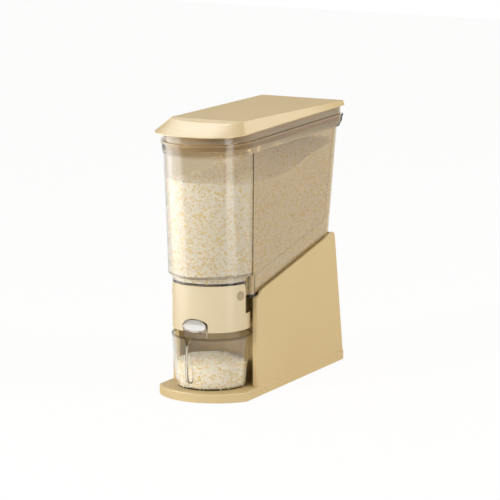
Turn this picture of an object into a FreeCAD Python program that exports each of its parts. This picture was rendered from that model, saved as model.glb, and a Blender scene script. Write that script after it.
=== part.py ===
"""Countertop rice dispenser: clear tank on a sloped pedestal, press shutter, pull-out measuring cup.

Millimetres. +Z is up, -Y is the front, the part is symmetric about X = 0 but for the cup's spout, and
the origin is the centre of the footprint on the surface that the feet rest on.
"""
import FreeCAD, Part
import math
import os

# ---- Overall ----
DEPTH = 377.0                  # lid nose to the rear of the base
BASE_WIDTH = 134.3             # base plate, side to side
OUTLET_SETBACK = 82.0          # lid nose to the axis that outlet, cover and cup share
MOULDED_WALL = 2.6             # opaque mouldings
CLEAR_WALL = 2.2               # clear mouldings
SEAT_GAP = 0.3                 # between pieces that rest on each other but lift or slide apart
RUNNING_GAP = 0.06             # radial, shaft in hole
HELD_GAP = 0.03                # radial, pins and screws in the holes that hold them
SLIP_GAP = 0.15                # between pieces that are put together once

# ---- Base plate and its feet ----
FOOT_PROUD = 0.8               # feet below the plate's skirt
FOOT_RADIUS = 8.0
FOOT_THICKNESS = 2.4
FOOT_INSET = 22.0              # foot centres from the plate's edges
BASE_TOP = 13.6                # surface that the cup stands on
BASE_NOSE_SETBACK = 17.5       # behind the lid nose
BASE_NOSE_RADIUS = 79.0
BASE_CORNER_RADIUS = 7.0
BASE_EDGE_ROUND = 1.6
BASE_RIB = 2.0                 # thickness
BASE_RIB_HEIGHT = 2.6
BASE_RIB_COUNT = 6

# ---- Pedestal ----
PEDESTAL_INSET = 0.65          # side walls behind the edge of the base plate
PEDESTAL_FRONT_GAP = 11.1      # from the outlet axis back to the front lips
PEDESTAL_REAR_INSET = 2.5      # rear foot of the pedestal in front of the plate's rear edge
PEDESTAL_TOP = 143.9           # top edge level with the outlet axis
PEDESTAL_SLOPE = 10.5          # degrees, top edge rises to the rear
PEDESTAL_REAR_LEAN = 9.4       # degrees, rear wall leans forward going up
PEDESTAL_TAPER = 1.8           # side walls close in behind the crease
PEDESTAL_CREASE = 46.0         # crease to the rear wall
PEDESTAL_NOSE_ROUND = 15.0     # front top corner, side view
PEDESTAL_TAIL_ROUND = 9.0      # rear top corner, side view
PEDESTAL_LIP_ROUND = 4.5       # front vertical corners
BAY_GAP = 3.2                  # cup rim to the bay wall
DECK_WALL = 2.6
RIM_WALL = 3.2                 # side walls round the deck
POST_RADIUS = 4.5
POST_HEIGHT = 26.0
PAD_RADIUS = 7.0
PAD_HEIGHT = 1.5

# ---- Screws ----
SCREW_RADIUS = 1.5
SCREW_HEAD_RADIUS = 3.2
SCREW_HEAD_HEIGHT = 2.2
SCREW_LENGTH = 18.0
SCREW_SEAT = 3.0               # plate left under a screw head
SCREW_SLOT = 0.8
COVER_SCREW_HEAD = 2.6         # radius
COVER_SCREW_PROUD = 0.6        # head past the cover
COVER_SCREW_LENGTH = 6.0
COVER_SCREW_ANGLES = (50, 130)  # degrees from +X round the outlet axis

# ---- Tank ----
PANEL_INSET = 3.15             # side panel at the collar, from the edge of the base plate
PANEL_DRAFT = 1.4              # panel closes in from collar to step
PANEL_STEP = 1.1               # panels stand proud of nose, skirt and rear
PANEL_RISE = 24.5              # panel's lower edge above the pedestal's top edge
PANEL_REAR_MARGIN = 25.0       # panel's rear edge to the rear wall
PANEL_CORNER = 12.0
GROOVE_WIDTH = 0.9             # groove round the lower and rear edges of a panel
GROOVE_DEPTH = 0.8
STEP_Z = 171.5                 # nose steps in to the outlet ring
COLLAR_Z = 340.0
FLARE_HEIGHT = 8.0
BAND_HEIGHT = 5.6
LEDGE_HEIGHT = 3.6
RIM_HEIGHT = 11.6
NOSE_TIP_TOP = 10.8            # nose behind the lid nose, at the collar
NOSE_TIP_STEP = 15.6           # the same at the step
NOSE_FULL_TOP = 0.59           # 0.55 is an ellipse, less is slimmer
NOSE_FULL_STEP = 0.42
COLLAR_PROUD = 0.9
BAND_TIP = 8.2                 # collar band behind the lid nose
LEDGE_TIP = 5.2
LEDGE_PROUD = 1.1              # ledge past the band, at the sides
RIM_INSET = 3.4                # upright rim inside the ledge
TANK_REAR_INSET = 11.0         # rear wall at the collar, from the rear edge of the lid
TANK_REAR_LEAN = 9.6           # degrees, rear wall leans back going up
TANK_REAR_RADIUS = 14.0
LEDGE_REAR_INSET = 1.0
SKIRT_SINK = 5.0               # tank's underside below the pedestal's top edge
SHOULDER_SETBACK = 3.5         # full width begins behind the outlet axis
SHOULDER_ROUND = 7.0
RING_WALL = 2.6                # outlet cover, and the half ring it continues
SPIGOT_DROP = 10.0             # part of the half ring that the cover's band hides
RICE_GAP = 0.8                 # bulk rice to the tank's walls
RICE_HEAP = (                  # behind the lid nose, edge below the collar, crown at the middle
    (0, 42.5, 4), (40, 43, 12), (92, 44, 5), (181, 44, 3), (219, 39, 3), (273, 28, 4), (377, 15, 4))
PIN_BLIND = 0.8                # chute wall left behind a pivot pin

# ---- Outlet cover, shutter and button ----
COVER_RADIUS = 53.8
COVER_BOTTOM = 96.0
COVER_TOP = 160.0
COVER_BAND_TOP = 118.0
COVER_REAR_EDGE = 3.8          # cover's upright edge in front of the outlet axis
COVER_CORNER = 6.0
COVER_GAP = 0.5                # cover to the mouldings round it
CHUTE_HALF_WIDTH = 30.0        # inside
CHUTE_FRONT = 33.0             # inside front wall, in front of the outlet axis
CHUTE_REAR = 1.5               # inside rear wall, in front of the outlet axis
PIVOT_FORWARD = 15.1           # pivot in front of the outlet axis
PIVOT_Z = 144.5
MOUTH_RADIUS = 41.0            # chute's curved lower edge, about the pivot
SHUTTER_GAP = 0.5
SHUTTER_WALL = 2.0
SHUTTER_FRONT_DEG = 46.0
SHUTTER_REAR_DEG = 25.0
ARM_GAP = 0.6
ARM_WALL = 2.2
HUB_RADIUS = 6.5
HUB_LENGTH = 5.0
PIN_RADIUS = 2.8
PIN_HEAD_RADIUS = 6.6
PIN_HEAD_DEPTH = 3.0           # seat behind the cover's wall level with the pivot
PIN_HEAD_PROUD = 0.5           # past the cover's wall
PIN_RING_RADIUS = 4.4          # groove in a pin's head
PIN_RING_WIDTH = 0.8
PIN_RING_DEPTH = 0.5
EAR_RADIUS = 8.6
SPRING_WIRE = 0.45             # radius
SPRING_COIL = 3.5              # mean radius
SPRING_TURNS = 5.0
SPRING_LEG = 11.0
SPRING_END_GAP = 0.2
BUTTON_Z = 105.0
BUTTON_HALF_WIDTH = 18.0
BUTTON_HALF_HEIGHT = 8.9
BUTTON_TILT = 14.0             # degrees, face looks up
BUTTON_PROUD = 1.4             # past the cover's front
BUTTON_RIM = 1.5
BUTTON_DISH = 2.2
CAP_THICKNESS = 1.4
CAP_HOLLOW = 0.8               # depth of the cap's hollow face
BUTTON_SKIRT_GAP = 1.4         # tongue above the cup's rim
TONGUE_WALL = 2.0
ARCH_GAP = 0.9

# ---- Lid ----
LID_INSET = 1.0                # lid edge inside the edge of the base plate
LID_EDGE_DROP = 0.5            # lid's lower edge below the top of the rim
LID_EDGE_BAND = 1.3
LID_CORNER = 57.6              # nose length
LID_FULLNESS = 0.61
LID_REAR_RADIUS = 4.0
LID_REAR_HEIGHT = 6.7
LID_TOP_RISE = 1.72            # degrees, top rises to the front
LID_TOP_HALF_FRONT = 54.2
LID_TOP_HALF_REAR = 64.4
LID_CREASE_SETBACK = 69.8      # crease across the top, behind the lid nose
LID_TOP_CORNER = 20.5          # from the crease to the front of the facet
LID_TOP_FULLNESS = 0.55
LID_FACET_SLOPE = 6.0          # degrees, facet falls to the front
LID_TOP_REAR_INSET = 1.0
LID_WALL = 2.2
PLUG_PLATE = 2.2
PLUG_GAP = 1.0
PLUG_WALL = 2.0
GASKET_DROP = 10.8             # gasket's lower edge below the top of the rim
GASKET_HEIGHT = 4.0
GASKET_DEPTH = 1.2
GASKET_LIP = 0.8

# ---- Measuring cup ----
CUP_RIM_PROUD = 1.5            # past the outlet cover
CUP_FOOT_RADIUS = 48.6
CUP_HEIGHT = 73.4
CUP_WALL = 1.8
CUP_FLOOR = 2.4
CUP_FOOT_ROUND = 3.0
SPOUT_ANGLE = 11.0             # degrees from the front towards -X
SPOUT_RADIUS = 5.8
SPOUT_BOTTOM = 8.5             # spout's round end above the cup's foot
SPOUT_AXIS_INSET = 5.6         # spout channel's axis inside the rim
NOTCH_WIDTH = 13.0
NOTCH_DEPTH = 12.0

# ---- Derived places ----
LID_TIP_Y = -DEPTH / 2
REAR_Y = DEPTH / 2
OUTLET_Y = LID_TIP_Y + OUTLET_SETBACK
PIVOT_Y = OUTLET_Y - PIVOT_FORWARD
HALF_BASE = BASE_WIDTH / 2
HALF_PEDESTAL = HALF_BASE - PEDESTAL_INSET
HALF_LID = HALF_BASE - LID_INSET
PEDESTAL_FRONT_Y = OUTLET_Y + PEDESTAL_FRONT_GAP
CUP_RIM_RADIUS = COVER_RADIUS + CUP_RIM_PROUD
BAY_RADIUS = CUP_RIM_RADIUS + BAY_GAP
DECK_DROP = SKIRT_SINK + SEAT_GAP + PAD_HEIGHT
RISE = math.tan(math.radians(PEDESTAL_SLOPE))
TANK_LEAN = math.tan(math.radians(TANK_REAR_LEAN))
PEDESTAL_LEAN = math.tan(math.radians(PEDESTAL_REAR_LEAN))
HALF_PANEL_TOP = HALF_BASE - PANEL_INSET
HALF_PANEL_STEP = HALF_PANEL_TOP - PANEL_DRAFT
HALF_SKIRT = HALF_PANEL_STEP - PANEL_STEP
HALF_BAND = HALF_PANEL_TOP + COLLAR_PROUD
HALF_LEDGE = HALF_BAND + LEDGE_PROUD
HALF_RIM = HALF_LEDGE - RIM_INSET
RIM_TIP = LEDGE_TIP + RIM_INSET
RIM_REAR_INSET = LEDGE_REAR_INSET + RIM_INSET
RING_INNER = COVER_RADIUS - RING_WALL
SPIGOT_OUTER = RING_INNER - COVER_GAP
SKIRT_LOW = COVER_TOP + COVER_GAP
SPIGOT_INNER = SPIGOT_OUTER - CLEAR_WALL
SHUTTER_INNER = MOUTH_RADIUS + SHUTTER_GAP
SHUTTER_OUTER = SHUTTER_INNER + SHUTTER_WALL
ARM_INNER = CHUTE_HALF_WIDTH + CLEAR_WALL + ARM_GAP
ARM_OUTER = ARM_INNER + ARM_WALL
HUB_OUTER = ARM_INNER + HUB_LENGTH
CUP_Z = BASE_TOP + SEAT_GAP
CUP_RIM_Z = CUP_Z + CUP_HEIGHT
BAND_Z = COLLAR_Z + FLARE_HEIGHT
LEDGE_Z = BAND_Z + BAND_HEIGHT
LEDGE_TOP = LEDGE_Z + LEDGE_HEIGHT
RIM_TOP = LEDGE_TOP + RIM_HEIGHT
LID_EDGE_Z = RIM_TOP - LID_EDGE_DROP
LID_TOP_REAR = LID_EDGE_Z + LID_REAR_HEIGHT
PLUG_BOTTOM = BAND_Z + SEAT_GAP
GASKET_Z = RIM_TOP - GASKET_DROP
PIVOT_WALL_X = math.sqrt(COVER_RADIUS ** 2 - PIVOT_FORWARD ** 2)
PIN_SEAT_X = PIVOT_WALL_X - PIN_HEAD_DEPTH
EAR_INNER = PIN_SEAT_X - MOULDED_WALL
PIN_INNER = CHUTE_HALF_WIDTH + PIN_BLIND
LID_RISE = math.tan(math.radians(LID_TOP_RISE))
LID_FACET_FALL = math.tan(math.radians(LID_FACET_SLOPE))
LID_CREASE_Y = LID_TIP_Y + LID_CREASE_SETBACK
FAR = 1000.0
TINY = 1e-6


# ---- Small helpers ----
def vec(x, y, z):
    return FreeCAD.Vector(x, y, z)


def box(low, high):
    size = [b - a for a, b in zip(low, high)]
    return Part.makeBox(size[0], size[1], size[2], vec(*low))


def rod(radius, start, direction, length):
    return Part.makeCylinder(radius, length, vec(*start), vec(*direction))


def upright_ring(outer, inner, low, high):
    tube = rod(outer, (0, OUTLET_Y, low), (0, 0, 1), high - low)
    return tube.cut(rod(inner, (0, OUTLET_Y, low), (0, 0, 1), high - low))


def fuse_all(shapes):
    whole = shapes[0]
    for shape in shapes[1:]:
        whole = whole.fuse(shape)
    return whole.removeSplitter()


def loft(lower, upper):
    return Part.makeLoft([lower, upper], True, True)


def level(z):
    """A level plane, as the height at each y."""
    return lambda y: z


def pedestal_top_at(y):
    return PEDESTAL_TOP + RISE * (y - OUTLET_Y)


def underside_at(y):
    return pedestal_top_at(y) - SKIRT_SINK


def deck_at(y):
    return pedestal_top_at(y) - DECK_DROP


def lid_top_at(y):
    return LID_TOP_REAR + LID_RISE * (REAR_Y - y)


def tank_rear_at(z):
    return REAR_Y - TANK_REAR_INSET - TANK_LEAN * (COLLAR_Z - z)


def pedestal_rear_at(z):
    return REAR_Y - PEDESTAL_REAR_INSET - PEDESTAL_LEAN * (z - BASE_TOP)


def nose_edges(half_width, tip_y, corner_y, fullness, height):
    """Two mirrored curves from the left corner round the tip to the right corner."""
    shoulder_y = corner_y + fullness * (tip_y - corner_y)
    cheek_x = fullness * half_width
    edges = []
    for side in (-1, 1):
        poles = [vec(side * half_width, corner_y, height(corner_y)),
                 vec(side * half_width, shoulder_y, height(shoulder_y)),
                 vec(side * cheek_x, tip_y, height(tip_y)),
                 vec(0, tip_y, height(tip_y))]
        if side == 1:
            poles.reverse()
        curve = Part.BezierCurve()
        curve.setPoles(poles)
        edges.append(curve.toShape())
    return edges


def tail_edges(half_width, corner_y, rear_y, rear_radius, height, half_rear):
    """Straight sides and rounded rear corners, from the right corner round to the left one."""
    shift = rear_radius * (1 - math.sqrt(0.5))
    flat = half_rear - rear_radius

    def place(x, y):
        return vec(x, y, height(y))

    def rounded(side):
        points = [place(side * half_rear, rear_y - rear_radius),
                  place(side * (half_rear - shift), rear_y - shift),
                  place(side * flat, rear_y)]
        if side == -1:
            points.reverse()
        return Part.Arc(*points).toShape()

    return [Part.makeLine(place(half_width, corner_y), place(half_rear, rear_y - rear_radius)),
            rounded(1),
            Part.makeLine(place(flat, rear_y), place(-flat, rear_y)),
            rounded(-1),
            Part.makeLine(place(-half_rear, rear_y - rear_radius), place(-half_width, corner_y))]


def plan_wire(half_width, tip_y, corner_y, fullness, rear_y, rear_radius, height):
    """Plan outline with a curved nose, straight sides and rounded rear corners."""
    return Part.Wire(nose_edges(half_width, tip_y, corner_y, fullness, height)
                     + tail_edges(half_width, corner_y, rear_y, rear_radius, height, half_width))


def side_prism(points, half_width=FAR):
    """Solid with the outline (y, z), straight across in X."""
    wire = Part.makePolygon([vec(-half_width, y, z) for y, z in points + points[:1]])
    return Part.Face(wire).extrude(vec(2 * half_width, 0, 0))


def round_edges(solid, radius, wanted):
    edges = [e for e in solid.Edges if wanted(e)]
    return solid.makeFillet(radius, edges) if edges else solid


def runs_along_x(edge):
    a, b = edge.Vertexes[0].Point, edge.Vertexes[-1].Point
    return abs(a.y - b.y) < TINY and abs(a.z - b.z) < TINY


def is_upright(edge):
    a, b = edge.Vertexes[0].Point, edge.Vertexes[-1].Point
    return abs(a.x - b.x) < TINY and abs(a.y - b.y) < TINY and abs(a.z - b.z) > TINY


# ---- Base ----
def base_block(inset, low, high):
    """Plate outline, inset all round: a slab whose front is an arc."""
    tip_y = LID_TIP_Y + BASE_NOSE_SETBACK + inset
    slab = box((inset - HALF_BASE, tip_y, low), (HALF_BASE - inset, REAR_Y - inset, high))
    radius = BASE_NOSE_RADIUS - inset
    disc = rod(radius, (0, tip_y + radius, low), (0, 0, 1), high - low)
    rear = box((-FAR, tip_y + radius, low), (FAR, REAR_Y, high))
    slab = slab.common(disc.fuse(rear)).removeSplitter()
    return round_edges(slab, max(BASE_CORNER_RADIUS - inset, 0.5), is_upright)


def foot_places():
    """Name and (x, y) of each foot."""
    side_x = HALF_BASE - FOOT_INSET
    front_y = OUTLET_Y - FOOT_INSET
    rear_y = REAR_Y - FOOT_INSET
    nose_y = LID_TIP_Y + BASE_NOSE_SETBACK + FOOT_INSET / 1.5
    return {"foot_nose": (0, nose_y), "foot_front_left": (-side_x, front_y),
            "foot_front_right": (side_x, front_y), "foot_rear_left": (-side_x, rear_y),
            "foot_rear_right": (side_x, rear_y)}


def post_places():
    """(x, y) of the screw posts that tie the pedestal to the base plate."""
    side_x = HALF_PEDESTAL - RIM_WALL - POST_RADIUS
    first = PEDESTAL_FRONT_Y + 4 * POST_RADIUS + MOULDED_WALL
    last = REAR_Y - PEDESTAL_REAR_INSET - 4 * POST_RADIUS
    rows = [first, (first + last) / 2, last]
    return [(side * side_x, y) for y in rows for side in (-1, 1)]


def base_plate():
    skirt_z = FOOT_PROUD
    plate = base_block(0, skirt_z, BASE_TOP)
    plate = round_edges(plate, BASE_EDGE_ROUND, lambda e: e.BoundBox.ZMin > BASE_TOP - TINY)
    plate = plate.cut(base_block(MOULDED_WALL, skirt_z, BASE_TOP - MOULDED_WALL))
    inside = base_block(MOULDED_WALL / 2, skirt_z, BASE_TOP - MOULDED_WALL / 2)
    rib_low = BASE_TOP - MOULDED_WALL - BASE_RIB_HEIGHT
    head_z = BASE_TOP - SCREW_SEAT
    pieces = [plate]
    pitch = (REAR_Y - OUTLET_Y) / BASE_RIB_COUNT
    for i in range(BASE_RIB_COUNT):
        y = OUTLET_Y + pitch * i
        rib = box((-FAR, y - BASE_RIB / 2, rib_low), (FAR, y + BASE_RIB / 2, BASE_TOP))
        pieces.append(rib.common(inside))
    spine = box((-BASE_RIB / 2, LID_TIP_Y, rib_low), (BASE_RIB / 2, REAR_Y, BASE_TOP))
    pieces.append(spine.common(inside))
    for x, y in foot_places().values():
        boss_height = BASE_TOP - MOULDED_WALL / 2 - FOOT_THICKNESS
        pieces.append(rod(FOOT_RADIUS + BASE_RIB, (x, y, FOOT_THICKNESS), (0, 0, 1), boss_height))
    for x, y in post_places():
        pieces.append(rod(SCREW_HEAD_RADIUS + BASE_RIB, (x, y, FOOT_THICKNESS), (0, 0, 1),
                          BASE_TOP - FOOT_THICKNESS))
    plate = fuse_all(pieces)
    for x, y in post_places():
        plate = plate.cut(rod(SCREW_RADIUS + SLIP_GAP, (x, y, 0), (0, 0, 1), FAR))
        plate = plate.cut(rod(SCREW_HEAD_RADIUS + SLIP_GAP, (x, y, 0), (0, 0, 1), head_z))
    return plate


def foot(x, y):
    return rod(FOOT_RADIUS, (x, y, 0), (0, 0, 1), FOOT_THICKNESS)


def base_screws():
    seat_z = BASE_TOP - SCREW_SEAT
    head_z = seat_z - SCREW_HEAD_HEIGHT
    screws = []
    for x, y in post_places():
        head = rod(SCREW_HEAD_RADIUS, (x, y, head_z), (0, 0, 1), SCREW_HEAD_HEIGHT)
        shank = rod(SCREW_RADIUS, (x, y, head_z), (0, 0, 1), SCREW_HEAD_HEIGHT + SCREW_LENGTH)
        slot = box((x - SCREW_HEAD_RADIUS, y - SCREW_SLOT / 2, head_z),
                   (x + SCREW_HEAD_RADIUS, y + SCREW_SLOT / 2, head_z + SCREW_HEAD_HEIGHT / 2))
        screws.append(head.fuse(shank).removeSplitter().cut(slot))
    return Part.makeCompound(screws)


# ---- Pedestal ----
def pedestal_plan(inset, z):
    """Plan outline of the pedestal at one height, rear corners closing in behind the crease."""
    half = HALF_PEDESTAL - inset
    front = PEDESTAL_FRONT_Y + inset
    rear = pedestal_rear_at(z) - inset
    crease = pedestal_rear_at(z) - PEDESTAL_CREASE
    tail = half - PEDESTAL_TAPER
    spots = [(-half, front), (half, front), (half, crease), (tail, rear), (-tail, rear), (-half, crease)]
    return Part.makePolygon([vec(x, y, z) for x, y in spots + spots[:1]])


def pedestal_block(inset, low, high):
    return loft(pedestal_plan(inset, low), pedestal_plan(inset, high))


def pedestal_profile():
    """Side view of the pedestal, straight across in X."""
    front = PEDESTAL_FRONT_Y
    slope_end = pedestal_rear_at(pedestal_top_at(0)) / (1 + PEDESTAL_LEAN * RISE)
    prism = side_prism([(front, BASE_TOP), (front, pedestal_top_at(front)),
                        (slope_end, pedestal_top_at(slope_end)),
                        (pedestal_rear_at(BASE_TOP), BASE_TOP)])

    def top_corner(y):
        return lambda e: (runs_along_x(e) and abs(e.BoundBox.YMin - y) < TINY
                          and e.BoundBox.ZMin > BASE_TOP + TINY)

    prism = round_edges(prism, PEDESTAL_NOSE_ROUND, top_corner(front))
    return round_edges(prism, PEDESTAL_TAIL_ROUND, top_corner(slope_end))


def above_slope(height, low_y=-FAR, high_y=FAR):
    """Everything above a sloped plane, between two y."""
    return side_prism([(low_y, height(low_y)), (high_y, height(high_y)),
                       (high_y, 2 * FAR), (low_y, 2 * FAR)])


def pedestal():
    ceiling = pedestal_top_at(REAR_Y)
    half_well = HALF_PEDESTAL - RIM_WALL
    outer = pedestal_block(0, BASE_TOP, ceiling)
    outer = round_edges(outer, PEDESTAL_LIP_ROUND,
                        lambda e: is_upright(e) and e.BoundBox.YMin < PEDESTAL_FRONT_Y + TINY)
    outer = outer.common(pedestal_profile())
    well = pedestal_block(RIM_WALL, BASE_TOP, ceiling)
    well = well.fuse(box((-half_well, PEDESTAL_FRONT_Y, BASE_TOP),
                         (half_well, PEDESTAL_FRONT_Y + 2 * RIM_WALL, ceiling)))
    well = well.common(above_slope(deck_at))
    hollow = pedestal_block(MOULDED_WALL, BASE_TOP, ceiling)
    hollow = hollow.cut(above_slope(lambda y: deck_at(y) - DECK_WALL))
    hollow = hollow.cut(rod(BAY_RADIUS + MOULDED_WALL, (0, OUTLET_Y, 0), (0, 0, 1), ceiling))
    shell = outer.cut(well).cut(hollow)
    shell = shell.cut(rod(BAY_RADIUS, (0, OUTLET_Y, 0), (0, 0, 1), ceiling))
    pieces = [shell]
    for x, y in post_places():
        pieces.append(rod(POST_RADIUS, (x, y, BASE_TOP), (0, 0, 1), POST_HEIGHT))
        wall_x = math.copysign(HALF_PEDESTAL - MOULDED_WALL / 2, x)
        pieces.append(box((min(x, wall_x), y - BASE_RIB / 2, BASE_TOP),
                          (max(x, wall_x), y + BASE_RIB / 2, BASE_TOP + POST_HEIGHT)))
    shell = fuse_all(pieces)
    for x, y in post_places():
        shell = shell.cut(rod(SCREW_RADIUS + HELD_GAP, (x, y, 0), (0, 0, 1), BASE_TOP + SCREW_LENGTH))
    return shell


def pad_places():
    """Name and (x, y) of each pad between the deck and the tank."""
    side_x = HALF_SKIRT - 2 * PAD_RADIUS
    front_y = OUTLET_Y + BAY_RADIUS + 2 * PAD_RADIUS
    rear_y = tank_rear_at(underside_at(REAR_Y)) - 3 * PAD_RADIUS
    return {"tank_pad_front_left": (-side_x, front_y), "tank_pad_front_right": (side_x, front_y),
            "tank_pad_rear_left": (-side_x, rear_y), "tank_pad_rear_right": (side_x, rear_y)}


def tank_pad(x, y):
    """Pad between two slopes: an upright rod trimmed to both."""
    post = rod(PAD_RADIUS, (x, y, BASE_TOP), (0, 0, 1), FAR)
    post = post.common(above_slope(deck_at))
    return post.cut(above_slope(lambda v: deck_at(v) + PAD_HEIGHT))


# ---- Tank ----
def tank_section(z, half_width, tip, fullness, inset):
    return plan_wire(half_width - inset, LID_TIP_Y + tip + inset, OUTLET_Y, fullness,
                     tank_rear_at(z) - inset, TANK_REAR_RADIUS - inset, level(z))


def tank_nose_block(inset):
    """Upper tank with its curved nose, from the step to the collar."""
    lower = tank_section(STEP_Z, HALF_SKIRT, NOSE_TIP_STEP, NOSE_FULL_STEP, inset)
    upper = tank_section(COLLAR_Z, HALF_PANEL_TOP - PANEL_STEP, NOSE_TIP_TOP, NOSE_FULL_TOP, inset)
    return loft(lower, upper)


def skirt_block(inset, low, high):
    """Below the step: a drum flush with the outlet cover, and the full width behind it."""
    shoulder_y = OUTLET_Y + SHOULDER_SETBACK + inset
    wide = loft(tank_section(low, HALF_SKIRT, NOSE_TIP_STEP, NOSE_FULL_STEP, inset),
                tank_section(high, HALF_SKIRT, NOSE_TIP_STEP, NOSE_FULL_STEP, inset))
    wide = wide.common(box((-FAR, shoulder_y, 0), (FAR, FAR, FAR)))
    wide = round_edges(wide, SHOULDER_ROUND - inset,
                       lambda e: is_upright(e) and e.BoundBox.YMin < shoulder_y + TINY)
    drum = rod(COVER_RADIUS - inset, (0, OUTLET_Y, low), (0, 0, 1), high - low)
    return wide.fuse(drum)


def panel_edge_at(y):
    return pedestal_top_at(y) + PANEL_RISE


def panel_prism():
    """Side view of a panel, straight across in X, with a slanted lower edge."""
    front = OUTLET_Y + PANEL_STEP
    turn = OUTLET_Y + (STEP_Z - panel_edge_at(OUTLET_Y)) / RISE
    tail = tank_rear_at(panel_edge_at(REAR_Y)) - PANEL_REAR_MARGIN - PANEL_CORNER / 2
    prism = side_prism([(front, STEP_Z), (turn, STEP_Z), (tail, panel_edge_at(tail)),
                        (tank_rear_at(COLLAR_Z) - PANEL_REAR_MARGIN, COLLAR_Z), (front, COLLAR_Z)])
    return round_edges(prism, PANEL_CORNER,
                       lambda e: runs_along_x(e) and abs(e.BoundBox.YMin - tail) < TINY)


def side_panels():
    """Flat panels that stand proud of both sides."""
    slab = loft(rectangle(HALF_PANEL_STEP, STEP_Z), rectangle(HALF_PANEL_TOP, COLLAR_Z))
    return slab.common(panel_prism())


def panel_grooves():
    """Fine groove in the tank's sides along the lower and rear edges of the panels."""
    panel = panel_prism()
    outline = min(panel.Faces, key=lambda f: f.CenterOfMass.x)
    grown = outline.makeOffset2D(GROOVE_WIDTH, 2).extrude(vec(2 * FAR, 0, 0))
    groove = grown.cut(panel).common(box((-FAR, OUTLET_Y + PANEL_CORNER, STEP_Z - 2 * GROOVE_WIDTH),
                                         (FAR, FAR, COLLAR_Z - GROOVE_WIDTH)))
    keep = loft(rectangle(HALF_SKIRT - GROOVE_DEPTH, STEP_Z - 3 * GROOVE_WIDTH),
                rectangle(HALF_PANEL_TOP - PANEL_STEP - GROOVE_DEPTH, COLLAR_Z))
    return groove.cut(keep)


def rectangle(half_width, z):
    rear = REAR_Y - TANK_REAR_INSET
    spots = [(-half_width, OUTLET_Y), (half_width, OUTLET_Y), (half_width, rear), (-half_width, rear)]
    return Part.makePolygon([vec(x, y, z) for x, y in spots + spots[:1]])


def collar_wire(z, half_width, tip, rear_inset):
    return plan_wire(half_width, LID_TIP_Y + tip, OUTLET_Y, NOSE_FULL_TOP, REAR_Y - rear_inset,
                     TANK_REAR_RADIUS / 2, level(z))


def collar_blocks():
    """Flared collar and its band."""
    flare = loft(collar_wire(COLLAR_Z, HALF_PANEL_TOP, BAND_TIP + COLLAR_PROUD, TANK_REAR_INSET),
                 collar_wire(BAND_Z, HALF_BAND, BAND_TIP, LEDGE_REAR_INSET + COLLAR_PROUD))
    band = loft(collar_wire(BAND_Z, HALF_BAND, BAND_TIP, LEDGE_REAR_INSET + COLLAR_PROUD),
                collar_wire(LEDGE_Z, HALF_BAND, BAND_TIP, LEDGE_REAR_INSET + COLLAR_PROUD))
    return [flare, band]


def tank_rim():
    """Frame that closes the tank's top edge: a ledge and the upright rim that the lid sits on."""
    low = LEDGE_Z + SLIP_GAP
    ledge = loft(collar_wire(low, HALF_LEDGE, LEDGE_TIP, LEDGE_REAR_INSET),
                 collar_wire(LEDGE_TOP, HALF_LEDGE, LEDGE_TIP, LEDGE_REAR_INSET))
    rim = loft(collar_wire(LEDGE_TOP, HALF_RIM, RIM_TIP, RIM_REAR_INSET),
               collar_wire(RIM_TOP, HALF_RIM, RIM_TIP, RIM_REAR_INSET))
    return ledge.fuse(rim).removeSplitter().cut(rim_bore(0, LEDGE_Z, RIM_TOP))


def rim_bore(inset, low, high):
    """Space inside the upright rim, inset further for what drops into it."""
    wall = CLEAR_WALL + inset
    wires = [collar_wire(z, HALF_RIM - wall, RIM_TIP + wall, RIM_REAR_INSET + wall) for z in (low, high)]
    return loft(*wires)


def collar_cavity():
    """Throat that widens from the tank's inside to the rim's inside."""
    narrow = tank_section(COLLAR_Z, HALF_PANEL_TOP - PANEL_STEP, NOSE_TIP_TOP, NOSE_FULL_TOP, CLEAR_WALL)
    wide = collar_wire(BAND_Z, HALF_RIM - CLEAR_WALL, RIM_TIP + CLEAR_WALL, RIM_REAR_INSET + CLEAR_WALL)
    return loft(narrow, wide).fuse(rim_bore(0, BAND_Z, LEDGE_Z))


def chute_block(grow, low, high):
    return box((-CHUTE_HALF_WIDTH - grow, OUTLET_Y - CHUTE_FRONT - grow, low),
               (CHUTE_HALF_WIDTH + grow, OUTLET_Y - CHUTE_REAR + grow, high))


def pivot_rod(radius, half_length):
    return rod(radius, (-half_length, PIVOT_Y, PIVOT_Z), (1, 0, 0), 2 * half_length)


def chute():
    """Square outlet whose lower edge is curved about the pivot."""
    block = chute_block(CLEAR_WALL, PIVOT_Z - 2 * MOUTH_RADIUS, COVER_TOP + CLEAR_WALL)
    lower = box((-FAR, -FAR, 0), (FAR, FAR, PIVOT_Z))
    return block.cut(lower.cut(pivot_rod(MOUTH_RADIUS, FAR)))


def half_ring():
    """Ring that carries the cover round to the back, with a spigot inside the cover's band."""
    low = COVER_BAND_TOP + COVER_GAP
    ring = upright_ring(COVER_RADIUS, SPIGOT_INNER, low, SKIRT_LOW)
    spigot = upright_ring(SPIGOT_OUTER, SPIGOT_INNER, COVER_BAND_TOP - SPIGOT_DROP, low)
    behind = box((-FAR, OUTLET_Y - COVER_REAR_EDGE + COVER_GAP, 0), (FAR, FAR, FAR))
    behind = behind.cut(above_slope(lambda y: underside_at(y) + CLEAR_WALL / 2))
    return ring.fuse(spigot).common(behind)


def tank_outside():
    rear_low = underside_at(OUTLET_Y - COVER_RADIUS)
    rear_side = above_slope(underside_at, OUTLET_Y - COVER_REAR_EDGE + COVER_GAP)
    upper = tank_nose_block(0).fuse(skirt_block(0, SKIRT_LOW, STEP_Z)).common(above_slope(underside_at))
    lower = skirt_block(0, rear_low, STEP_Z).common(rear_side)
    return fuse_all([upper, lower, side_panels(), chute(), half_ring()] + collar_blocks())


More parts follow.
